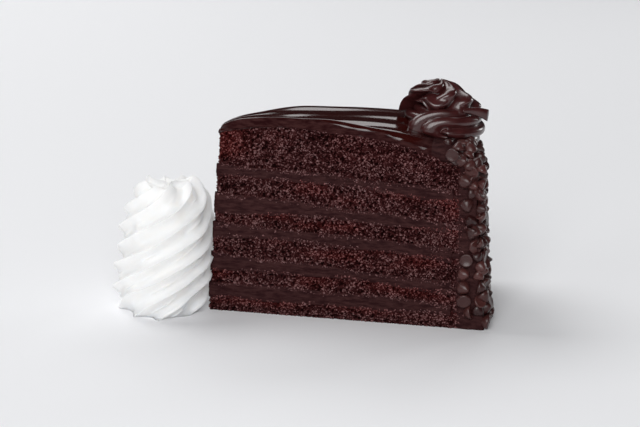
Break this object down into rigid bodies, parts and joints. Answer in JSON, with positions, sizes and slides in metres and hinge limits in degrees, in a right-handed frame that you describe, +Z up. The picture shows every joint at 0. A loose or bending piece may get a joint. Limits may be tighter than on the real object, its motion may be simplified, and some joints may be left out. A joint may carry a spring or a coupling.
{
  "type": "slice of layered chocolate cake",
  "caption": "Tall wedge of layered chocolate cake with a glazed top, a chip-coated rim, a piped chocolate rosette and a swirl of whipped cream at its point.",
  "frame": {"origin": "on the flat underside of the bottom sponge, on the slice's middle line, 70 mm from the centre of the round cake it was cut from", "axes": "+Z up; +X along the middle line from the point to the rim; +Y towards the far cut face, so the near cut face looks to -Y"},
  "size_m": [0.1768, 0.0755, 0.1069],
  "materials": {
    "sponge": "open moist crumb, matte",
    "filling": "cut fudge frosting, smooth and slightly damp",
    "glaze": "poured chocolate glaze, wet gloss",
    "coat": "chocolate chips pressed into frosting, satin",
    "rosette": "piped chocolate frosting, satin gloss",
    "cream": "whipped cream, soft and matte"
  },
  "bodies": {
    "root": {"sponge_1": "sponge", "filling_1": "filling", "sponge_2": "sponge", "filling_2": "filling", "sponge_3": "sponge", "filling_3": "filling", "sponge_4": "sponge", "filling_4": "filling", "sponge_5": "sponge", "filling_5": "filling", "sponge_6": "sponge", "glaze": "glaze", "side_coat": "coat", "rosette": "rosette", "whipped_cream": "cream"}
  },
  "joints": []
}
